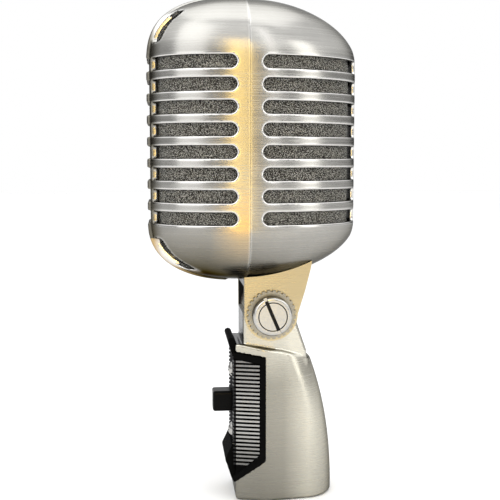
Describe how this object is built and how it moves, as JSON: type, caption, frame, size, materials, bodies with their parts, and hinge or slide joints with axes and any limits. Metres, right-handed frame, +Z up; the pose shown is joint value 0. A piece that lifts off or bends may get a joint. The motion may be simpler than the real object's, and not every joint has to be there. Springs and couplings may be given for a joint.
{
  "type": "ribbon microphone",
  "caption": "Vintage-style slotted stage ribbon microphone with a foam-lined metal grille head that tilts on a switched stand-mount base.",
  "frame": {"origin": "on the stand-thread axis, at the base's bottom face", "axes": "+Z up along the stand-thread axis, -Y towards the front of the head, X across it"},
  "size_m": [0.056, 0.0782, 0.1875],
  "materials": {
    "satin_nickel": "satin brushed nickel",
    "polished_nickel": "polished",
    "black_moulding": "gloss black",
    "grey_plate": "satin grey",
    "lining_foam": "open cell foam",
    "switch_body": "matte",
    "insulator": "matte",
    "gold_pins": "plated",
    "magnet_steel": "ground",
    "soft_iron": "plated",
    "foil": "bright foil",
    "clamp_brass": "machined",
    "screw_steel": "zinc plated",
    "bracket_steel": "zinc plated",
    "bush_rubber": "matte",
    "core_iron": "lacquered laminations",
    "coil_wrap": "taped winding",
    "lead_red": "insulated wire",
    "washer_fibre": "fibre"
  },
  "bodies": {
    "base": {"base_casting": "satin_nickel", "trim_frame": "black_moulding", "trim_ribs_left": "polished_nickel", "trim_ribs_right": "polished_nickel", "switch_plate": "grey_plate", "plate_screw_upper": "polished_nickel", "plate_screw_lower": "polished_nickel", "slide_switch": "switch_body", "switch_terminals": "gold_pins", "friction_washer_left": "washer_fibre", "friction_washer_right": "washer_fibre", "lock_washer_left": "polished_nickel", "lock_washer_right": "polished_nickel", "pivot_screw_left": "polished_nickel", "pivot_screw_right": "polished_nickel", "inlet_insulator": "insulator", "inlet_pins": "gold_pins", "base_leads": "lead_red"},
    "head": {"front_grille": "satin_nickel", "rear_grille": "satin_nickel", "front_foam": "lining_foam", "rear_foam": "lining_foam", "neck_yoke": "satin_nickel", "neck_screw_left": "screw_steel", "neck_screw_right": "screw_steel", "magnet_left": "magnet_steel", "magnet_right": "magnet_steel", "pole_piece_left": "soft_iron", "pole_piece_right": "soft_iron", "motor_top_plate": "soft_iron", "motor_bottom_plate": "soft_iron", "ribbon": "foil", "ribbon_clamp_top": "clamp_brass", "ribbon_clamp_bottom": "clamp_brass", "motor_screws": "screw_steel", "motor_bracket": "bracket_steel", "rubber_bushes": "bush_rubber", "transformer_core": "core_iron", "transformer_coil": "coil_wrap", "head_leads": "lead_red"},
    "switch_slider": {"switch_slider": "black_moulding"}
  },
  "joints": [
    {"name": "head_tilt", "type": "hinge", "parent": "base", "child": "head", "pos_m": [0, 0.004, 0.0718], "axis": [1, 0, 0], "range_deg": [-65, 45]},
    {"name": "switch_slide", "type": "slide", "parent": "base", "child": "switch_slider", "axis": [0, 0, 1], "range_m": [-0.004, 0]}
  ]
}
